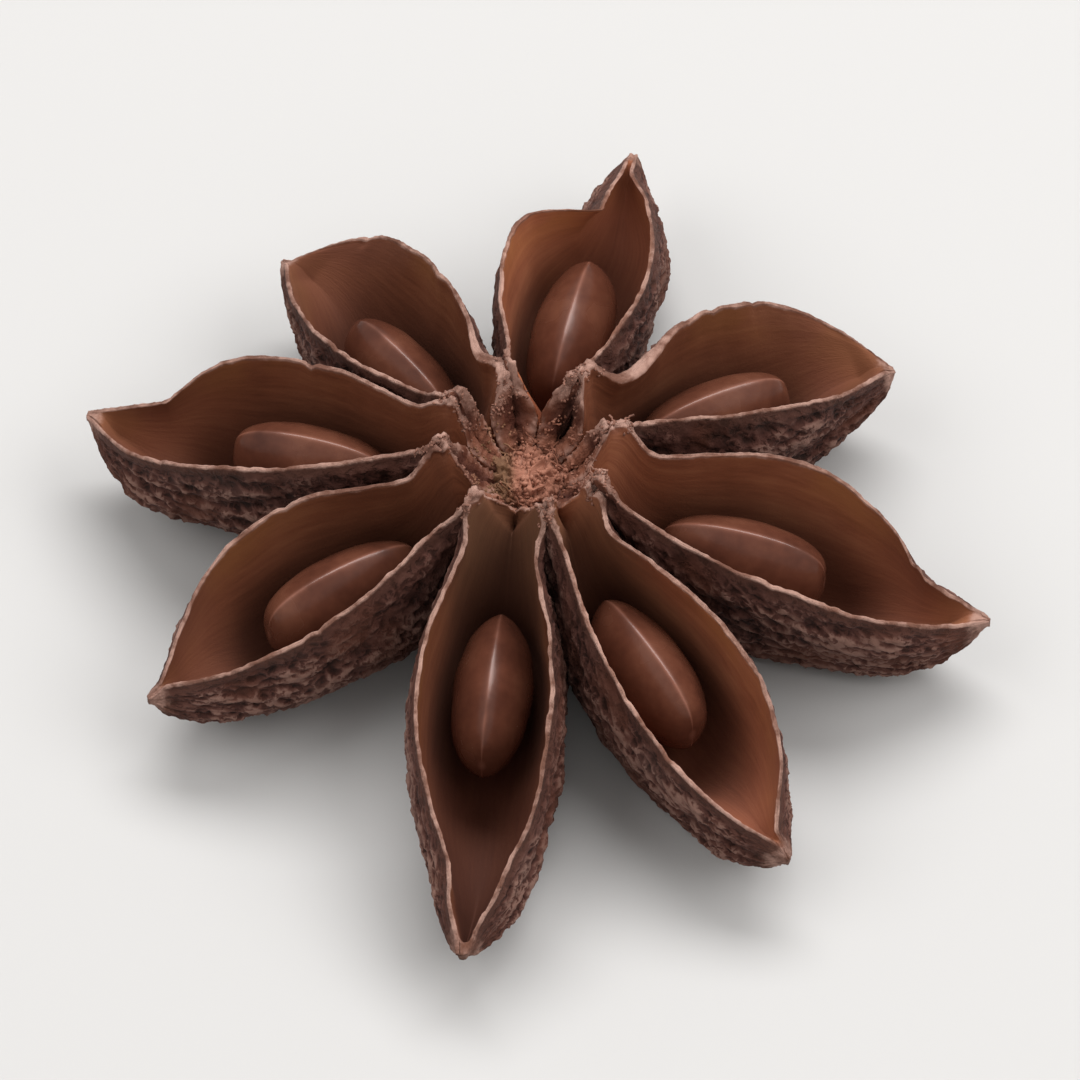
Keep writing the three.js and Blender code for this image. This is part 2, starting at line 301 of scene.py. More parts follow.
# %% Table, lights and camera
CAMERA_ELEVATION = 57  # degrees above the table
CAMERA_DISTANCE = 420  # mm
VIEW_WIDTH = 45.5  # mm across the picture at the pod
VIEW_CENTRE = (0.2, 0.0, 4.4)  # mm
TABLE_HALF = 1.5  # metres from its middle to its edge


def studio_table():
    mesh = bpy.data.meshes.new("table")
    turns = [(-1, -1), (1, -1), (1, 1), (-1, 1)]
    mesh.from_pydata([(x * TABLE_HALF, y * TABLE_HALF, 0) for x, y in turns], [], [(0, 1, 2, 3)])
    table = new_object("table", mesh)
    paint = bpy.data.materials.new("pale table")
    paint.use_nodes = True
    surface = paint.node_tree.nodes["Principled BSDF"]
    surface.inputs["Base Color"].default_value = (0.49, 0.482, 0.474, 1)
    surface.inputs["Roughness"].default_value = 0.7
    mesh.materials.append(paint)
    table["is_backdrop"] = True


def from_pod(bearing, elevation, distance):
    """A point this many mm from the pod's middle. Bearing 0 is in front, 180 behind."""
    turn, rise = math.radians(bearing), math.radians(elevation)
    away = (math.sin(turn) * math.cos(rise), -math.cos(turn) * math.cos(rise), math.sin(rise))
    return [(c + distance * a) * MM for c, a in zip(VIEW_CENTRE, away)]


def aim(thing, place):
    thing.location = place
    back = np.subtract(place, np.multiply(VIEW_CENTRE, MM))
    rise = math.atan2(back[2], math.hypot(back[0], back[1]))
    thing.rotation_euler = (math.pi / 2 - rise, 0, math.atan2(back[0], -back[1]))


def soft_light(name, place, width, height, power, mirrored=False):
    lamp = bpy.data.lights.new(name, "AREA")
    lamp.shape = "ELLIPSE"
    lamp.size, lamp.size_y = width, height
    lamp.energy = power
    light = new_object(name, lamp)
    light.visible_glossy = mirrored
    aim(light, place)


studio_table()
soft_light("back_light", from_pod(168, 60, 560), width=0.62, height=0.24, power=3.0, mirrored=True)
soft_light("front_light", from_pod(0, 45, 700), width=0.8, height=0.5, power=0.35)
soft_light("left_light", from_pod(-80, 50, 600), width=0.5, height=0.4, power=1.2)
soft_light("right_light", from_pod(80, 50, 600), width=0.5, height=0.4, power=1.8)

sky = bpy.data.worlds.new("sky")
sky.use_nodes = True
glow = sky.node_tree.nodes["Background"].inputs
glow["Color"].default_value = (1, 0.98, 0.96, 1)
glow["Strength"].default_value = 0.42
bpy.context.scene.world = sky
bpy.context.scene.view_settings.view_transform = "Standard"

lens = bpy.data.cameras.new("camera")
lens.sensor_width = 36
lens.lens = lens.sensor_width * CAMERA_DISTANCE / VIEW_WIDTH
lens.clip_start = 0.01
camera = new_object("camera", lens)
aim(camera, from_pod(0, CAMERA_ELEVATION, CAMERA_DISTANCE))
bpy.context.scene.camera = camera
print("lens:", round(lens.lens), "mm")

# %% [markdown]
# ## The colours of a dried pod
#
# The pod has three kinds of surface. Outside, the husk is rough and grey-brown, with some rust-red;
# painted shade darkens its furrows, and its ridges are paler, partly where it has been rubbed and partly
# as painted light. Inside, the lining is smooth chestnut with a satin sheen; painted light makes it golden
# in patches high on the walls, painted shade darkens it towards the floor, and each boat's lining is
# painted lighter or darker as a whole, as the light falls on it. Between them runs the lip of each split,
# a thin line of torn wood, pale and a little pink. One material holds all three, because they run into
# each other: each point of the mesh says how much lining and how much lip it has, how far along the boat
# and how deep in it the point lies, and how high the relief stands there.


# %% The husk's material
OLIVE_FROM, OLIVE_TO = 0.5, -2.5  # the lining turns olive between these y, in mm


def new_material(name):
    material = bpy.data.materials.new(name)
    material.use_nodes = True
    material.node_tree.nodes.clear()
    return material, Board(material.node_tree)


def wear_surface(board, colour, roughness, normal, mirror=0.5):
    """Ends a material: one Principled surface. Mirror is how strongly it reflects from above."""
    inputs = {"Base Color": colour, "Roughness": roughness, "Specular IOR Level": mirror, "Normal": normal}
    surface = board.add("ShaderNodeBsdfPrincipled", inputs=inputs)
    board.add("ShaderNodeOutputMaterial", inputs={"Surface": surface})


def husk_material():
    material, board = new_material("dried_husk")
    here = board.add("ShaderNodeTexCoord", out="Object")
    lining, lip, skin, relief, torn = map(board.grain, ("lining", "lip", "skin", "relief", "torn"))
    along, around, depth, beak, tone = map(board.grain, ("along", "around", "depth", "beak", "tone"))
    fibres = board.vector(along * 0.25, around * 1.6, lining * 9)

    # Outside: painted shade darkens the furrows and pits, the flanks are red-brown, the ridges are paler,
    # partly rubbed and partly painted light, and the wood is bare under the lips.
    patches = board.noise(here, scale=260, detail=3)
    specks = board.noise(here, scale=1700, detail=3, roughness=0.65)
    stray = specks * 0.9
    cracks = board.cells(board.vector(along * 0.8 + stray, around + stray, lining), 2.6)
    hollows = board.between(cracks, 0.04, 0.32)
    # Painted shade in the pits and furrows, and paler crests that are partly rubbed wear and partly
    # painted light, all from how high the relief stands.
    height = relief + (specks - 0.5) * 0.5 - (hollows - 0.5) * 0.45
    relief_shade_and_wear = board.ramp(
        height * 0.75 + 0.43,
        (0.0, (0.009, 0.004, 0.003)),
        (0.35, (0.028, 0.011, 0.008)),
        (0.6, (0.064, 0.024, 0.018)),
        (0.8, (0.108, 0.045, 0.034)),
        (1.0, (0.220, 0.120, 0.093)),
    )
    rust = board.blend(board.between(patches, 0.48, 0.66) * 0.6, relief_shade_and_wear, (0.095, 0.032, 0.019, 1))
    ashen = board.blend(board.between(patches, 0.42, 0.28) * 0.2, rust, (0.085, 0.060, 0.052, 1))
    bare = board.between(skin, 0.75, 0.1) * board.between(patches, 0.7, 0.4)
    outside = board.blend(bare * 0.65, ashen, (0.090, 0.037, 0.025, 1))

    # Inside: chestnut, with faint streaks along the boat. Painted light makes it golden in patches high
    # under the lips; it is olive near the crater in front and redder in the beak; each boat's lining is
    # then painted lighter or darker as a whole, and painted shade darkens it towards the floor.
    streaks = board.noise(fibres, scale=1.4, detail=4, roughness=0.6)
    clouds = board.noise(here, scale=330, detail=2)
    wood = board.ramp(
        streaks * 0.55 + clouds * 0.45,
        (0.25, (0.150, 0.048, 0.024)),
        (0.5, (0.250, 0.084, 0.042)),
        (0.78, (0.350, 0.135, 0.066)),
    )
    # Painted light: golden patches high on the walls under the lips, well along the boat.
    painted_light_patches = board.between(depth, 0.5, 0.1) * board.between(along, 6.5, 12.0)
    painted_light_patches = painted_light_patches * board.between(patches, 0.36, 0.6)
    lit_lining = board.blend(painted_light_patches * 0.6, wood, (0.320, 0.124, 0.045, 1))
    _, forward, _ = board.split(here)
    to_front = board.between(forward, OLIVE_FROM * MM, OLIVE_TO * MM)
    olive = board.blend(board.between(along, 8.5, 4.0) * to_front * 0.6, lit_lining, (0.135, 0.080, 0.048, 1))
    ruddy_beak = board.blend(beak * 0.45, olive, (0.140, 0.044, 0.026, 1))
    # Painted light and shade: each boat's whole lining is made lighter or darker by its tone.
    light_toned = board.scaled(ruddy_beak, tone)
    # Painted shade: the lining darkens towards the floor of the hollow.
    inside = board.blend(board.between(depth, 0.25, 1.0) * 0.75, light_toned, (0.060, 0.018, 0.011, 1))

    # Between: pale and frayed on the lips, and rust-red where the crater's wall was torn, mottled with
    # painted shade and painted light as between knobs and on their tops.
    both = board.blend(lining, outside, inside)
    torn = board.between(torn, 0.3, 0.9)
    worn = board.noise(here, scale=620, detail=2)
    # Painted shade and light on the torn wood: dark red mottling for the shade between knobs, paler for
    # their lit tops.
    knob_light_and_shade = board.between(worn * 0.7 + specks * 0.3, 0.4, 0.58)
    rusty = board.blend(knob_light_and_shade, (0.070, 0.020, 0.012, 1), (0.230, 0.086, 0.051, 1))
    ruddy = board.blend(torn * 0.8, both, rusty)
    frayed = board.between(lip + (specks - 0.5) * 0.8, 0.3, 0.9)
    bleached = board.between(worn * 0.55 + specks * 0.45, 0.4, 0.6)
    pale = board.blend(bleached, (0.150, 0.068, 0.047, 1), (0.400, 0.240, 0.192, 1))
    colour = board.blend(frayed * 0.85, ruddy, pale)

    rough = board.noise(here, scale=2600, detail=4, roughness=0.65)
    coarse = rough * (1.3 + torn) - hollows * 0.5
    ripple = coarse * (1 - lining * 0.92) + streaks * lining * 0.15
    bump = board.bump(ripple, strength=0.7, depth=0.11)
    polished = (1 - beak) * board.between(depth, 0.9, 0.2)
    satin = 0.84 - lining * polished * 0.38 + frayed * 0.12 + (streaks - 0.5) * 0.12
    wear_surface(board, colour, satin, bump, mirror=0.27)
    return material


husk_wood = husk_material()
print("husk material:", len(husk_wood.node_tree.nodes), "nodes")

# %% [markdown]
# ## The carpels
#
# A carpel is a little boat: a keel that touches the table, two walls that swell and close in
# again, and two split edges that arch out from the crown in the middle and droop to a beak.
# It could be sculpted, but every boat follows the same few rules and differs only in sizes, so
# it is a loft: U-shaped sections that stand across a line from the pod's axis to the beak.
# Each carpel says where its beak points and how its two edges open.

# %% The sizes of the carpels
Edge = namedtuple("Edge", "gape widest closes blunt ramp")
Carpel = namedtuple("Carpel", "bearing reach tip beak clockwise anticlockwise")

AXIS = (-0.3, 1.6)  # the pod's axis on the table
CARPELS = [
    Carpel(76, 18.9, 4.4, 0.75, Edge(2.7, 0.53, 0.93, 2, 1.6), Edge(3.6, 0.54, 0.74, 5, 1.4)),
    Carpel(24.9, 17.2, 4.2, 0.5, Edge(1.8, 0.6, 0.98, 3, 2), Edge(4, 0.66, 1, 2.6, 1.8)),
    Carpel(-15.3, 20.1, 4, 0.5, Edge(3.3, 0.56, 1, 3, 1.2), Edge(3.1, 0.58, 0.86, 2, 2.2)),
    Carpel(-57.8, 20.2, 4.1, 0.5, Edge(2.8, 0.57, 0.98, 2.6, 1.5), Edge(2.8, 0.66, 0.95, 2, 2.2)),
    Carpel(-97.1, 21.7, 3.9, 1, Edge(3.3, 0.51, 0.9, 2, 1.2), Edge(2.55, 0.58, 0.94, 2.6, 1.8)),
    Carpel(-149.4, 18.4, 4.3, 0.5, Edge(3.4, 0.6, 0.97, 2, 2.4), Edge(2.65, 0.6, 0.97, 2.2, 1.6)),
    Carpel(165.2, 19.4, 4.2, 0.5, Edge(2.6, 0.6, 0.82, 3, 2), Edge(3.4, 0.6, 1, 3, 1.6)),
    Carpel(129.7, 16.5, 4.5, 0.5, Edge(3.6, 0.72, 0.98, 3.5, 1.6), Edge(2.65, 0.58, 0.98, 2.2, 1.2)),
]
CLOCKWISE, ANTICLOCKWISE = -1, 1
# Painted light and shade: each carpel's lining is made lighter or darker as a whole, as the light falls on
# it.
LIT_TONES = [1.4, 0.72, 0.92, 1.1, 0.75, 0.68, 0.74, 0.62]  # how pale each carpel's lining is
EDGE_HEIGHT, DROOP, HUMP = 8.8, 2.6, 0.25  # the split edges' arch
CROWN_RADIUS, CROWN_WIDTH, CROWN_HEIGHT, CROWN_UNEVEN = 3.4, 1.1, 1.4, 0.3  # mm, the torn crown
KEEL_RADIUS, KEEL_ROOT = 2.1, 2  # where a keel leaves the column: mm from the axis and mm up
BODY_WIDTH, BODY_BLUNT = 3.1, 0.66  # half a body's width, and how blunt its ends are
LEAN, LEAN_SPAN = 0.7, 0.055  # how far a body leans, and the share of its length that evens it out
KEEL_THICK, BEAK_THICK, WALL_THICK = 1.2, 0.3, 0.62  # mm of wood below the hollow and beside it
# The crater: its floor's height, the radii where its wall starts and ends, and how that bends.
CRATER_FLOOR, CRATER_FROM, CRATER_TO, CRATER_BEND = 6.6, 1.2, 3.3, 1.2
SLIT_BEAK, SLIT_GAPE, SLIT_AT, SLIT_LENGTH = 4, 0.5, 0.9, 0.065  # one beak gapes again
print(len(CARPELS), "carpels, reaching", [c.reach for c in CARPELS])


# %% Curves along a carpel
def mix(a, b, share):
    return a + (b - a) * share


def smooth(low, high, x):
    t = np.clip((x - low) / (high - low), 0, 1)
    return t * t * (3 - 2 * t)


def smaller(a, b, blend=0.5):
    """The smaller of two lengths, rounded off where they are nearly equal."""
    h = np.clip(0.5 + 0.5 * (b - a) / blend, 0, 1)
    return mix(b, a, h) - blend * h * (1 - h)


def bell(x, place, width):
    """1 at a place, fading on both sides of it."""
    return np.exp(-(((x - place) / width) ** 2))


def crown_share(radius):
    """1 on the crown round the middle, fading inwards and outwards."""
    return bell(radius, CROWN_RADIUS, CROWN_WIDTH)


def crater_share(radius):
    """How far up the crater's wall a radius is, from 0 at its floor to 1 at its rim."""
    return np.clip((radius - CRATER_FROM) / (CRATER_TO - CRATER_FROM), 0, 1) ** CRATER_BEND


def edge_height(carpel, side, s):
    radius = s * carpel.reach
    arch = mix(EDGE_HEIGHT, carpel.tip, s**DROOP) + HUMP * np.sin(np.pi * s)
    wave = CROWN_UNEVEN * math.sin(3 * carpel.bearing + 1.9 * side)
    crown = (CROWN_HEIGHT + wave) * crown_share(radius)
    return mix(CRATER_FLOOR, arch + crown, crater_share(radius))


def keel_height(carpel, s):
    root = KEEL_ROOT * (1 - smooth(KEEL_RADIUS / carpel.reach, 0.42, s))
    rise = np.clip((s - 0.58) / 0.42, 0, 1) ** 2.5
    below = 0.12 * (1 - smooth(0.62, 0.8, s))
    return root + (carpel.tip - 0.9) * rise - below


def edge_reach(carpel, side, s):
    """How far the outside of a split edge stands from the carpel's midline."""
    edge = carpel.clockwise if side == CLOCKWISE else carpel.anticlockwise
    opening = np.sin(np.pi / 2 * np.clip(s / edge.widest, 0, 1)) ** edge.ramp
    closing = 1 - np.clip((s - edge.widest) / (edge.closes - edge.widest), 0, 1) ** edge.blunt
    beak = carpel.beak * np.sqrt(np.clip(1.05 - s, 0, 1)) * smooth(0.5, 0.8, s)
    if carpel is CARPELS[SLIT_BEAK]:
        beak = beak + SLIT_GAPE * bell(s, SLIT_AT, SLIT_LENGTH)
    return np.hypot(edge.gape * opening * closing, beak)


def body_lean(carpel, s):
    """How far the body leans to the side that opens wider, evened out along the carpel."""
    near = [s + step for step in np.linspace(-LEAN_SPAN, LEAN_SPAN, 9)]
    sides = (ANTICLOCKWISE, CLOCKWISE)
    left, right = (np.mean([edge_reach(carpel, side, at) for at in near], axis=0) for side in sides)
    return LEAN * (left - right) / 2 * (1 - smooth(0.94, 1, s))


def body_reach(carpel, s):
    body = BODY_WIDTH * np.sin(np.pi * np.clip(s, 0, 1)) ** BODY_BLUNT
    return np.maximum(body, 0.8 * carpel.beak * np.sqrt(1.05 - s))


def floor_height(carpel, s):
    """The floor of the hollow. It runs further into the beak that gapes again."""
    top = (edge_height(carpel, CLOCKWISE, s) + edge_height(carpel, ANTICLOCKWISE, s)) / 2
    beak_share, ends = (0.9, 0.96) if carpel is CARPELS[SLIT_BEAK] else (0.42, 0.91)
    hollow = mix(1, beak_share, smooth(0.62, 1, s)) * mix(0.35, 1, smooth(0.12, 0.3, s))
    hollow = hollow * (1 - smooth(ends, 0.985, s))
    thickness = mix(KEEL_THICK, BEAK_THICK, smooth(0.75, 1, s))
    return top - np.maximum(0.12, (top - keel_height(carpel, s) - thickness) * hollow)


def rooms_beside(index):
    """The angles that each side of a carpel has before it meets its neighbour: for edge and body."""
    mine, before, after = (CARPELS[(index + step) % len(CARPELS)] for step in (0, -1, 1))

    def room(apart, own, other):
        angle = math.radians(apart % 360)
        return angle * own.gape / (own.gape + other.gape), angle / 2

    return {
        CLOCKWISE: room(mine.bearing - after.bearing, mine.clockwise, after.anticlockwise),
        ANTICLOCKWISE: room(before.bearing - mine.bearing, mine.anticlockwise, before.clockwise),
    }


print("an edge's height:", edge_height(CARPELS[2], ANTICLOCKWISE, np.linspace(0, 1, 5)).round(1))

# %% [markdown]
# Dry wood is never even. Along the lips the height and the thickness wander, here and there a
# splinter is missing, and round the crater, where the carpels tore apart, the rim is ragged.
# These are worked out as waves with a fixed seed, finer ones on coarser ones, and added to the
# section before the mesh is made, so that the shapes are real and not painted on.

# %% Wear along a lip
LIP_THICKNESS, CROWN_LIP = 0.18, 0.5  # mm
CRATER_RIB = 0.93  # the share of its room that an edge fills in the crater, which leaves a slit
POCKET_SIDES = {(0, CLOCKWISE), (1, ANTICLOCKWISE)}  # two walls that came apart in the crater
POCKET_GAP, POCKET_RADIUS, POCKET_WIDTH = 0.6, 2.5, 0.5
# A lost splinter: where it was, as a share of the edge, and its depth and width.
NOTCHES = {(2, ANTICLOCKWISE): [(0.82, 0.4, 0.22)]}
# Lips that stayed thick: mm from the axis, mm more than elsewhere, and how far that reaches.
THICK_LIPS = {(1, ANTICLOCKWISE): (6.0, 0.45, 2.4), (7, CLOCKWISE): (4.6, 0.35, 1.4)}
FOLD_HEIGHT, FOLDS = 0.22, 1.7  # lengthwise folds of the skin, and how many a side has


def wander(rng, x, spacing):
    """A smooth random wave along x, from -1 to 1, that turns about once in each spacing."""
    knots = rng.uniform(-1, 1, int(x.max() / spacing) + 3)
    low = np.floor(x / spacing).astype(int)
    t = x / spacing - low
    return mix(knots[low], knots[low + 1], t * t * (3 - 2 * t))


def waves(rng, x, *sizes):
    """Random waves of these (height, spacing), added up."""
    return sum(height * wander(rng, x, spacing) for height, spacing in sizes)


def lip_wear(rng, radius, reach, notches):
    """How much height a lip has lost, how far it strays sideways, and its thickness."""
    crown = crown_share(radius)
    lost = 0.05 + waves(rng, radius, (0.05, 1.7), (0.03, 0.45))
    lost = lost + crown * (0.5 * wander(rng, radius, 0.5) ** 2 + 0.25 * wander(rng, radius, 0.22) ** 2)
    chips = zip(rng.uniform(0.42, 0.9, 3), rng.uniform(0.04, 0.2, 3), rng.uniform(0.1, 0.3, 3))
    for place, depth, width in [*chips, *notches]:
        lost = lost + depth * bell(radius, place * reach, width)
    strays = waves(rng, radius, (0.06, 1.4), (0.018, 0.4)) * (1 - 0.7 * crown)
    uneven = 1 + waves(rng, radius, (0.25, 0.9), (0.12, 0.35))
    thickness = mix(LIP_THICKNESS, CROWN_LIP, bell(radius, CROWN_RADIUS, 0.6)) * uneven
    return lost, strays * smooth(2.2, 3.2, radius), thickness


def cubic(p0, p1, p2, p3, v):
    w = 1 - v
    return w**3 * p0 + 3 * w * w * v * p1 + 3 * w * v * v * p2 + v**3 * p3


def skin_fold(carpel, side, s, v):
    """Lengthwise folds of the skin, 0 at the keel, the edge and both ends."""
    fade = smooth(0.02, 0.3, v) * (1 - smooth(0.6, 0.95, v))
    fade = fade * smooth(0.2, 0.4, s) * (1 - smooth(0.85, 1, s))
    phase = 1.1 * np.sin(5 * s + carpel.bearing) + 2 * side
    return FOLD_HEIGHT * fade * np.sin(2 * np.pi * FOLDS * v + phase)


print("a wave:", wander(np.random.default_rng(1), np.linspace(0, 1, 6), 0.4).round(2))


# %% Half a section
SECTION_STEPS = {"outer": 76, "rim": 8, "inner": 32}  # along the outside, the lip and the inside


def half_section(index, side, room, s, rng):
    """One half of every section of a carpel: [station, step, (sideways, height)] for the outside
    from keel to lip, over the rim of the lip, and the inside from the hollow's floor to the lip."""
    carpel = CARPELS[index]
    radius = s * carpel.reach
    lost, strays, thickness = lip_wear(rng, radius, carpel.reach, NOTCHES.get((index, side), []))
    place, extra, width = THICK_LIPS.get((index, side), (0, 0, 1))
    thickness = thickness + extra * bell(radius, place, width)
    lean = body_lean(carpel, s)
    top = edge_height(carpel, side, s)
    floor = np.minimum(floor_height(carpel, s), top - 0.1)
    keel = mix(keel_height(carpel, s), top - 0.35, 0.7 * smooth(0.95, 1, s) ** 2)
    edge_space, body_space = (1.06 * radius * np.tan(angle) for angle in room)
    opened = smaller(edge_reach(carpel, side, s), edge_space)
    joined = np.where(radius < CROWN_RADIUS, 1, np.minimum(1, 1.1 * crown_share(radius)))
    if (index, side) in POCKET_SIDES:
        joined = joined - POCKET_GAP * bell(radius, POCKET_RADIUS, POCKET_WIDTH)
    lip_wide = mix(opened, edge_space, joined) - side * lean + strays
    body_wide = smaller(body_reach(carpel, s), body_space)
    in_crater = 1 - smooth(0.55, 1, crater_share(radius))
    lip = mix(np.minimum(thickness, 0.6 * lip_wide), CRATER_RIB * lip_wide, in_crater)
    hollow_wide = body_wide - np.minimum(WALL_THICK, 0.72 * body_wide)
    # Near the crater and in the beak the hollow is more of a V than of a U.
    narrow = np.maximum(1 - smooth(2.8, 5.5, radius), 0.7 * smooth(0.74, 0.94, s))

    def line(kind, foot, wide, edge, bottom, sharp, folds):
        v = np.linspace(0, 1, SECTION_STEPS[kind] + 1)[None, :]
        wide, edge, bottom, high, sharp = (x[:, None] for x in (wide, edge, bottom, top, sharp))
        elbow, shoulder = mix(foot * wide, 0.3 * edge, sharp), mix(1.2 * wide, 0.7 * edge, sharp)
        sideways = cubic(0, elbow, shoulder, edge, v) + folds * skin_fold(carpel, side, s[:, None], v)
        rising = mix(bottom, high, 0.3 * sharp)
        height = cubic(bottom, rising, mix(bottom, high, 0.5), high - 0.3 * lip[:, None], v)
        height = height - lost[:, None] * smooth(0.8, 1, v)
        return np.stack([lean[:, None] + side * sideways, height], axis=-1)

    turn = np.linspace(0, np.pi, SECTION_STEPS["rim"] + 2)[None, 1:-1]
    rim_across = (lip_wide - lip / 2)[:, None] + (lip / 2)[:, None] * np.cos(turn)
    rim_height = (top - lost)[:, None] - 0.3 * lip[:, None] * (1 - np.sin(turn))
    return {
        "outer": line("outer", 0.85, body_wide, lip_wide, keel, 0 * s, folds=1),
        "rim": np.stack([lean[:, None] + side * rim_across, rim_height], axis=-1),
        "inner": line("inner", 0.8, hollow_wide, lip_wide - lip, floor, narrow, folds=0),
    }


print("points round a section:", 2 * sum(SECTION_STEPS.values()) + 2)

# %% [markdown]
# The two halves make one closed ring at each station, and the rings make the skin of the boat.
# What the materials and the next trees need to know is stored on the points: how much they
# belong to the lining or the lip, how far along and around the boat they are, how deep in the
# hollow, and how torn the wood is there. The map for pictures is the flattened skin itself.


# %% From half sections to a mesh
def ring_of(halves):
    """Joins two half sections into closed rings. Says for each point of a ring what it is part of,
    how far up the wall it is, to the left or to the right, and how far over the lip towards the
    hollow: 0 outside and 1 inside."""
    outer, rim, inner = SECTION_STEPS.values()
    kinds = np.repeat(["outer", "rim", "inner"], [outer + 1, rim, inner + 1])
    step = np.arange(len(kinds))
    up = np.interp(step, [0, outer, outer + rim + 1, step[-1]], [0, 1, 1, 0])
    over = np.clip((step - outer) / (rim + 1), 0, 1)

    def joined(left, right):
        """Runs from the right lip under the keel to the left lip, and back through the hollow."""
        return np.roll(np.concatenate([left[1:], right[-2::-1]]), outer + 1, axis=0)

    left, right = (
        np.concatenate([half["outer"], half["rim"], half["inner"][:, ::-1]], axis=1).swapaxes(0, 1)
        for half in (halves[ANTICLOCKWISE], halves[CLOCKWISE])
    )
    ring = joined(left, right).swapaxes(0, 1)
    return ring, joined(kinds, kinds), joined(up, -up), joined(over, over)


def from_rim(ring, kinds):
    """How far each point is from the nearest rim, along its section."""
    at = np.cumsum(np.linalg.norm(ring - np.roll(ring, 1, axis=1), axis=-1), axis=1)
    apart = np.abs(at[:, :, None] - at[:, None, kinds == "rim"])
    return np.minimum(apart, at[:, -1:, None] - apart).min(axis=2)


def wall_thickness(ring, kinds, enough=0.5):
    """How thick the wall is at each point, as a share of what is enough for deep relief. 1 on a rim."""
    share = np.ones(ring.shape[:2])
    for side, other in (("outer", "inner"), ("inner", "outer")):
        here, there = ring[:, kinds == side], ring[:, kinds == other]
        apart = np.linalg.norm(here[:, :, None] - there[:, None], axis=-1).min(axis=2)
        share[:, kinds == side] = np.clip(apart / enough, 0, 1)
    return share


STATIONS = 180  # sections along a carpel
# The painted shade in the lining is darkest this many mm below the lip.
HOLLOW_DEPTH = 5.5  # mm below the lip, where the lining is darkest


def carpel_mesh(index):
    carpel, rooms = CARPELS[index], rooms_beside(index)
    share = np.linspace(0, 1, STATIONS)
    s = mix(CRATER_FROM / carpel.reach, 1, share - 0.1 * np.sin(2 * np.pi * share))
    rng = np.random.default_rng(100 + index)
    halves = {side: half_section(index, side, rooms[side], s, rng) for side in rooms}
    ring, kinds, up, over = ring_of(halves)
    away = from_rim(ring, kinds)
    wall = wall_thickness(ring, kinds)
    radius = (s * carpel.reach)[:, None]
    turn = math.radians(carpel.bearing)
    cosine, sine = math.cos(turn), math.sin(turn)
    sideways, height = ring[..., 0], ring[..., 1]
    across = AXIS[0] + radius * cosine - sideways * sine
    ahead = AXIS[1] + radius * sine + sideways * cosine
    inside = (kinds == "inner")[None, :]
    crater = 1 - smooth(0.5, 1, crater_share(radius))
    tip = smooth(0.93, 0.99, s[:, None])
    tapers = 1 - 0.85 * smooth(0.86, 1, s[:, None])
    on_lip = 1 - smooth(0.0, np.where(inside, 0.1, 0.07), away)
    below_lip = height.max(axis=1, keepdims=True) - height
    beak = smooth(0.66, 0.86, s)[:, None]
    deepest = mix(HOLLOW_DEPTH, 1.8, beak) if index == SLIT_BEAK else HOLLOW_DEPTH
    stored = {
        "lining": smooth(0.3, 0.7, over)[None, :],
        "lip": np.maximum(on_lip * mix(1, 0.9 * over[None, :] ** 1.5, crater), 0.9 * tip),
        "along": radius,
        "around": 10 * up[None, :],
        "depth": np.where(inside, np.clip(below_lip / deepest, 0, 1), 0),
        "beak": beak,
        "tone": LIT_TONES[index],
        "wall": wall,
        "torn": np.maximum(crown_share(radius), crater) * np.exp(-away / np.where(inside, 0.35, 0.7)),
        "skin": np.where(inside, 0, smooth(0.05, 0.7, away)) * smooth(2.3, 3.4, radius) * tapers * wall,
    }
    return loft_mesh(f"carpel_{index + 1}", np.stack([across, ahead, height], axis=-1), stored)


def loft_mesh(name, places, stored):
    """A closed mesh from rings of points, both ends drawn in to one point. What is stored may be
    one number, or one for each ring, for each place on a ring or for each point."""
    stations, count = places.shape[:2]
    ends = places[[0, -1]].mean(axis=1)
    points = np.concatenate([places.reshape(-1, 3), ends])
    k, j = (grid.ravel() for grid in np.meshgrid(np.arange(stations - 1), np.arange(count), indexing="ij"))
    quads = [(k, j), (k, j + 1), (k + 1, j + 1), (k + 1, j)]
    j = np.arange(count)
    first, last = np.full(count, 0), np.full(count, stations - 1)
    first_cap = [(first, j + 1), (first, j), (first - 1, j + 0.5)]
    last_cap = [(last, j), (last, j + 1), (last + 1, j + 0.5)]

    faces, flat = [], []
    for corners in (quads, first_cap, last_cap):
        ring, place = (np.stack(values, axis=-1) for values in zip(*corners))
        number = ring * count + place.astype(int) % count
        number = np.where(ring < 0, len(points) - 2, np.where(ring >= stations, len(points) - 1, number))
        faces += number.tolist()
        flat.append(np.stack([(ring + 1) / (stations + 1), place / count], axis=-1).reshape(-1, 2))
    mesh = bpy.data.meshes.new(name)
    mesh.from_pydata((points * MM).tolist(), [], faces)
    layer = mesh.uv_layers.new(name="OFBake")
    layer.uv.foreach_set("vector", np.concatenate(flat).astype(np.float32).ravel())
    for label, values in stored.items():
        values = np.broadcast_to(values, places.shape[:2])
        whole = np.concatenate([values.ravel(), values[[0, -1]].mean(axis=1)])
        attribute = mesh.attributes.new(label, "FLOAT", "POINT")
        attribute.data.foreach_set("value", whole.astype(np.float32))
    return mesh


carpel_meshes = [carpel_mesh(index) for index in range(len(CARPELS))]
print("faces in one carpel:", len(carpel_meshes[0].polygons))
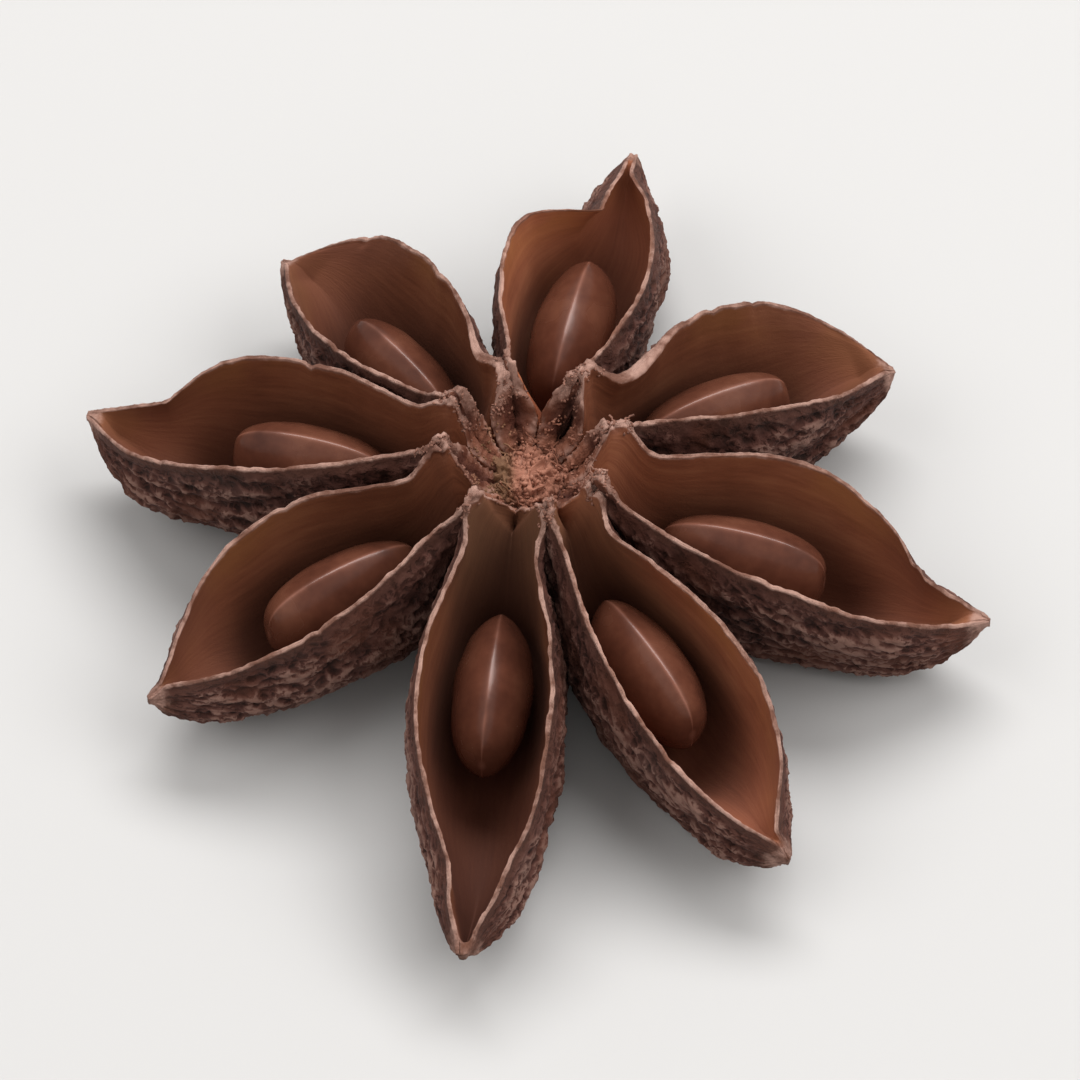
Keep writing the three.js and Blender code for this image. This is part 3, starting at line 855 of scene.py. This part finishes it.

# %% [markdown]
# ## The dried skin
#
# As the fruit dries, its flesh shrinks on the woody boat and wrinkles lengthwise, and the wrinkles are
# joined by small warts. A Geometry Nodes tree does the same to the mesh: it moves each point of the
# outside along its normal by two ridged noises, one drawn out along the boat and one round, and it stores
# how high the point stands, which the material uses to paint shade into the furrows and to make the ridges
# paler, partly as rubbed wear and partly as painted light. The torn wood of the crown gets a finer crumble
# of its own.


# %% The tree that wrinkles the skin
def skin_tree():
    board, first, wires = new_growth(
        "dried_skin",
        Wrinkle_depth=0.3, Wrinkles_per_mm=0.62, Wart_depth=0.13, Warts_per_mm=1.15,
        Crease_depth=0.08, Pit_depth=0.12, Pits_per_mm=1.5, Torn_depth=0.45, Frayed_depth=0.15,
        Seed=0.0, Material=husk_wood,
    )
    skin, torn, along, around = (board.stored(name) for name in ("skin", "torn", "along", "around"))
    in_mm = board.scaled(board.add("GeometryNodeInputPosition"), 1 / MM)

    # Wrinkles run along the boat, so the noise is read four times as finely around it.
    drawn_out = board.vector(along * 0.25, around, wires["Seed"])
    folds = board.ridges(board.noise(drawn_out, wires["Wrinkles_per_mm"], 2.5, 0.5), 6.0)
    warts = board.ridges(board.noise(in_mm, wires["Warts_per_mm"], 3.0, 0.55), 7.0)

    # Shallow pits with a net of narrow ridges between them.
    stray = board.noise(in_mm, 1.1, 2.0)
    pitted = board.vector(along * 0.7 + stray * 1.6, around + stray * 1.6, wires["Seed"])
    pits = board.between(board.cells(pitted, wires["Pits_per_mm"]), 0.03, 0.3)

    # Torn wood shows its fibres, which stand upright in the crater's wall.
    upright = board.vector_maths("MULTIPLY", in_mm, (1.0, 1.0, 0.3))
    fibres = board.noise(upright, 3.2, 3.0, 0.65) - 0.5
    frayed = board.noise(in_mm, 4.0, 3.0, 0.6) - 0.5

    creases = board.ridges(board.noise(drawn_out, wires["Wrinkles_per_mm"] * 3.1, 2.0, 0.5), 5.0)
    lift = skin * ((folds - 0.6) * wires["Wrinkle_depth"] + (warts - 0.5) * wires["Wart_depth"])
    lift = lift + skin * (creases - 0.5) * wires["Crease_depth"]
    lift = lift + skin * (0.4 - pits) * wires["Pit_depth"]
    lift = lift + torn * board.stored("wall") * (fibres + frayed) * wires["Torn_depth"]
    lift = lift + board.stored("lip") * frayed * wires["Frayed_depth"]
    offset = board.scaled(board.add("GeometryNodeInputNormal"), lift * MM)
    # How high the point stands, which the material turns into painted shade in the furrows and paler
    # crests.
    relief = skin * (folds * 0.55 + warts * 0.4 + creases * 0.35 - pits * 0.5 - 0.35)
    moved = board.shifted(board.store(first, "relief", relief), offset)
    return close_growth(board, moved, wires["Material"])


dry_out = skin_tree()
carpels = []
for index, mesh in enumerate(carpel_meshes):
    carpels.append(grow(mesh.name, mesh, dry_out, Seed=7.3 * index))
    finish_piece(carpels[-1], "husk", "husk")

# %% [markdown]
# ## The crumbled middle
#
# The carpels were torn from the column where they ripened, so the middle is a little crater:
# a rusty mound of crumbled wood with scraps and fibres on it and on the torn rim. The column
# and the stub of the stalk below it are turned shapes, worn by the same tree as the skin. The
# scraps are far too many to place by hand. A tree scatters them where the wood is torn.


# %% The column, the stalk and the core
COLUMN_SIDES = 120
PROFILE_STEP = 0.09  # mm between the rings of a turned shape
STALK = [(0.9, 0.5), (1.15, 0.75), (0.98, 1.6), (2.3, 2.4), (2.5, 3.2), (2.5, 5.0), (2.2, 5.4)]
CORE = [(1.2, 4.6), (1.9, 5.2), (1.9, 6.0), (1.6, 6.5), (1.2, 6.9), (0.6, 7.15)]
DRY_FROM, DRY_TO, DRY_TOP = -0.7, -1.3, 8.3  # mm: where the dry olive crumbs lie, x, x and z


def turned_mesh(name, profile, skin, torn):
    """A turned shape from its profile of (radius, height), with how much skin and tear it has."""
    profile = np.array(profile)
    length = np.concatenate([[0], np.cumsum(np.linalg.norm(np.diff(profile, axis=0), axis=1))])
    at = np.linspace(0, length[-1], int(length[-1] / PROFILE_STEP))
    radius, height = (np.interp(at, length, profile[:, k])[:, None] for k in (0, 1))
    turn = np.linspace(0, 2 * np.pi, COLUMN_SIDES, endpoint=False)[None, :]
    lobes = 1 + 0.05 * np.sin(5 * turn + height) + 0.03 * np.sin(11 * turn - 2 * height)
    radius = radius * lobes
    across, ahead = AXIS[0] + radius * np.cos(turn), AXIS[1] + radius * np.sin(turn)
    stored = {
        "skin": skin, "torn": torn, "along": 3 * height, "around": 2 * turn, "tone": 1, "wall": 1,
        **dict.fromkeys(("lining", "lip", "depth", "beak"), 0),
    }
    return loft_mesh(name, np.stack([across, ahead, height + 0 * turn], axis=-1), stored)


def torn_material():
    material, board = new_material("torn_wood")
    here = board.add("ShaderNodeTexCoord", out="Object")
    crumbs = board.noise(here, scale=1300, detail=4, roughness=0.65)
    patches = board.noise(here, scale=480, detail=2)
    rusty = board.ramp(
        crumbs * 0.55 + patches * 0.45,
        (0.3, (0.070, 0.021, 0.011)),
        (0.43, (0.165, 0.058, 0.032)),
        (0.58, (0.320, 0.132, 0.084)),
        (0.8, (0.480, 0.255, 0.182)),
    )
    # One side of the floor is drier and olive, and the scraps high on the rim are browner.
    sideways, _, upwards = board.split(here)
    to_side = board.between(sideways, DRY_FROM * MM, DRY_TO * MM)
    low_down = board.between(upwards, DRY_TOP * MM, (DRY_TOP - 0.5) * MM)
    olive = board.between(patches, 0.35, 0.55) * to_side * low_down
    dried = board.blend(olive * 0.75, rusty, (0.160, 0.085, 0.040, 1))
    colour = board.blend((1 - low_down) * 0.6, dried, (0.200, 0.100, 0.074, 1))
    bump = board.bump(crumbs, strength=0.6, depth=0.08)
    wear_surface(board, colour, 0.85, bump)
    return material


torn_wood = torn_material()
stalk_mesh = turned_mesh("stalk", STALK, skin=0.5, torn=0.3)
stalk = grow("stalk", stalk_mesh, dry_out, Seed=61.0)
finish_piece(stalk, "husk", "husk")
core_mesh = turned_mesh("core", CORE, skin=0.0, torn=1.0)
core = grow("core", core_mesh, dry_out, Torn_depth=1.1, Material=torn_wood)
finish_piece(core, "husk", "husk")


# %% The tree that scatters scraps of torn wood
STRAND_RADIUS, STRAND_BEND = 0.045, 0.6  # mm
SLANT, ALL_ROUND = 1.3, 6.28  # radians


def scraps_tree():
    board, first, wires = new_growth(
        "torn_scraps",
        Crumbs_per_mm2=30.0, Crumb_size=0.3, Strands_per_mm2=5.0, Strand_length=0.8,
        Seed=0, Material=torn_wood,
    )
    torn = board.between(board.stored("torn"), 0.15, 0.8)
    place = board.add("GeometryNodeInputPosition")
    heaped = board.between(board.noise(place, 1000.0, 1.0), 0.42, 0.62)

    def spread(per_mm2):
        density = torn * heaped * per_mm2 / MM**2
        inputs = {"Mesh": first, "Density": density, "Seed": wires["Seed"]}
        settings = {"distribute_method": "RANDOM"}
        return board.add("GeometryNodeDistributePointsOnFaces", settings, inputs)

    def random(low, high, seed, kind="FLOAT"):
        start = 2 if kind == "FLOAT" else 0
        inputs = {start: low, start + 1: high, "Seed": seed}
        return board.add("FunctionNodeRandomValue", {"data_type": kind}, inputs, out=start // 2)

    def placed(points, shape, turn, size):
        inputs = {"Points": points, "Instance": shape, "Rotation": turn, "Scale": size}
        return board.add("GeometryNodeInstanceOnPoints", inputs=inputs)

    # A crumb is a rough lump of twenty faces.
    lump = board.add("GeometryNodeMeshIcoSphere", inputs={"Radius": 0.5 * MM, "Subdivisions": 1})
    bumpy = board.scaled(place, board.noise(place, 1400.0, 1.0) * 1.6 - 0.8)
    crumb = board.shifted(lump, bumpy)
    turn = random((0.0, 0.0, 0.0), (ALL_ROUND, ALL_ROUND, ALL_ROUND), 5, "FLOAT_VECTOR")
    size = board.vector(random(0.5, 1.6, 6), random(0.5, 1.0, 7), random(0.4, 0.9, 8))
    crumbs = placed(spread(wires["Crumbs_per_mm2"]), crumb, turn, board.scaled(size, wires["Crumb_size"]))

    # A strand is a bent fibre that stands off the surface at a slant.
    line = board.add("GeometryNodeCurvePrimitiveLine", inputs={"End": (0.0, 0.0, 1.0 * MM)})
    dots = board.add("GeometryNodeResampleCurve", inputs={"Curve": line, "Count": 6})
    tangle = board.add("ShaderNodeTexNoise", inputs={"Vector": place, "Scale": 1200.0}, out="Color")
    bend = board.vector_maths("SUBTRACT", tangle, (0.5, 0.5, 0.5))
    bent = board.shifted(dots, board.scaled(bend, STRAND_BEND * MM))
    thin = {"Resolution": 5, "Radius": STRAND_RADIUS * MM}
    section = board.add("GeometryNodeCurvePrimitiveCircle", inputs=thin)
    swept = {"Curve": bent, "Profile Curve": section, "Fill Caps": True}
    strand = board.add("GeometryNodeCurveToMesh", inputs=swept)
    roots = spread(wires["Strands_per_mm2"])
    slant = random((-SLANT, -SLANT, 0.0), (SLANT, SLANT, ALL_ROUND), 9, "FLOAT_VECTOR")
    tall = random(0.5, 1.3, 10) * wires["Strand_length"]
    strands = placed(roots, strand, slant, board.vector(1.0, 1.0, tall))
    both = board.add("GeometryNodeJoinGeometry")
    for part in (strands, crumbs):
        board.tree.links.new(part.socket, both.socket.node.inputs[0])
    return close_growth(board, both, wires["Material"])


scatter = scraps_tree()
print("scraps tree:", len(scatter.nodes), "nodes")


# %% Where the scraps lie
def torn_faces(name, pieces, least=0.15):
    """One mesh of the faces of these pieces that are torn, as the ground for scraps."""
    places, faces, torn, count = [], [], [], 0
    for mesh in (piece.data for piece in pieces):
        share = np.empty(len(mesh.vertices), np.float32)
        mesh.attributes["torn"].data.foreach_get("value", share)
        corners = (list(face.vertices) for face in mesh.polygons)
        faces += [[v + count for v in face] for face in corners if share[face].min() > least]
        torn.append(share)
        places.append(points_of(mesh))
        count += len(share)
    ground = bpy.data.meshes.new(name)
    ground.from_pydata(np.concatenate(places).tolist(), [], faces)
    ground.attributes.new("torn", "FLOAT", "POINT").data.foreach_set("value", np.concatenate(torn))
    return ground


FINER = {"Crumbs_per_mm2": 22.0, "Crumb_size": 0.17, "Strands_per_mm2": 1.2, "Strand_length": 0.5}
SCRAPS = [("rim_scraps", carpels, FINER, 3), ("core_scraps", [core], {}, 4)]
for name, ground, amounts, seed in SCRAPS:
    scraps = grow(name, torn_faces(name + "_ground", ground), scatter, Seed=seed, **amounts)
    finish_piece(scraps, "husk", "husk")

# %% [markdown]
# ## The seeds
#
# A star anise seed is a flat oval, hard and polished, with a fine ridge along its edge, and a pale line is
# painted on that ridge here and there as a painted highlight. Eight of them are alike in all but size,
# which is what a Geometry Nodes tree with named inputs is for. The tree starts from a sphere, and a rule
# turns each point into a point of the seed. The frame says how large each seed is and where.


# %% The seeds' material
def seed_material():
    material, board = new_material("polished_seed")
    here = board.add("ShaderNodeTexCoord", out="Object")
    clouds = board.noise(here, scale=420, detail=3)
    specks = board.noise(here, scale=2300, detail=2)
    colour = board.ramp(
        clouds * 0.8 + specks * 0.2,
        (0.3, (0.056, 0.018, 0.011)),
        (0.5, (0.094, 0.031, 0.018)),
        (0.75, (0.145, 0.054, 0.031)),
    )
    # Painted highlight: a pale line along the ridge, broken by the clouds, that stands in for the ridge's
    # mirror line.
    worn = board.grain("seam") * board.between(clouds, 0.25, 0.55)
    with_ridge_highlight = board.blend(worn * 0.5, colour, (0.300, 0.125, 0.085, 1))
    bump = board.bump(specks, strength=0.25, depth=0.03)
    wear_surface(board, with_ridge_highlight, 0.2 + clouds * 0.12, bump, mirror=0.34)
    return material


seed_coat = seed_material()
print("seed material:", len(seed_coat.node_tree.nodes), "nodes")


# %% The tree that makes a seed
SEED = {"Length": 7.3, "Height": 4.9, "Thickness": 3.55}  # mm


def seed_tree():
    board, _, wires = new_growth(
        "star_anise_seed",
        Inner_taper=0.95, Outer_taper=0.72, Ridge_taper=0.55, Ridge=0.78, Bead=0.01, Uneven=0.06,
        Turn=0.0, Place=(0.0, 0.0, 0.0), Seed=0.0, **SEED,
    )
    globe = {"Segments": 96, "Rings": 56, "Radius": 1.0}
    ball = board.add("GeometryNodeMeshUVSphere", inputs=globe)
    across, up, along = board.split(board.add("GeometryNodeInputPosition"))
    ring = board.maths("SQRT", board.maths("MAXIMUM", 1 - along * along, 0.0))
    safe_ring = board.maths("MAXIMUM", ring, 1e-6)
    taper = wires["Inner_taper"] + (wires["Outer_taper"] - wires["Inner_taper"]) * (along * 0.5 + 0.5)
    full, tall = ring ** taper, ring ** wires["Ridge_taper"]
    cosine, sine = across / safe_ring, up / safe_ring
    flat = board.maths("SIGN", cosine) * board.maths("ABSOLUTE", cosine) ** (1 / wires["Ridge"])
    on_ridge = board.maths("EXPONENT", cosine * cosine * -40.0)  # a fine bead along the edge
    sine = sine * (1 + on_ridge * wires["Bead"])
    seed_at = board.vector(along * 2.1, flat * full, sine * tall)
    moved_at = board.vector_maths("ADD", seed_at, board.vector(0.0, 0.0, wires["Seed"]))
    swell = 1 + (board.noise(moved_at, 0.9, 1.0) - 0.5) * wires["Uneven"] * 2
    at = board.vector(
        along * wires["Length"] * (0.5 * MM),
        flat * full * wires["Thickness"] * swell * (0.5 * MM),
        sine * tall * wires["Height"] * (0.5 * MM),
    )
    # Where the painted highlight line along the ridge goes, for the material.
    with_ridge_highlight = board.store(ball, "seam", board.maths("EXPONENT", cosine * cosine * -100.0))
    shaped = board.add("GeometryNodeSetPosition", inputs={"Geometry": with_ridge_highlight, "Position": at})
    turned = board.vector(0.0, 0.0, wires["Turn"])
    inputs = {"Geometry": shaped, "Translation": wires["Place"], "Rotation": turned}
    placed = board.add("GeometryNodeTransform", inputs=inputs)
    return close_growth(board, placed, seed_coat)


make_seed = seed_tree()
print("seed tree:", len(make_seed.nodes), "nodes")

# %% Eight seeds
for index, carpel in enumerate(CARPELS):
    node = f"seed_{index + 1}"
    low, high = (np.array(corner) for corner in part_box(node))
    scale = (high[2] - low[2]) / MM / SEED["Height"]
    values = {name: size * scale for name, size in SEED.items()}
    values.update(Place=tuple((low + high) / 2), Turn=math.radians(carpel.bearing), Seed=3.1 * index)
    seed_piece = grow("polished_" + node, bpy.data.meshes.new(node), make_seed, **values)
    finish_piece(seed_piece, "seed", node)
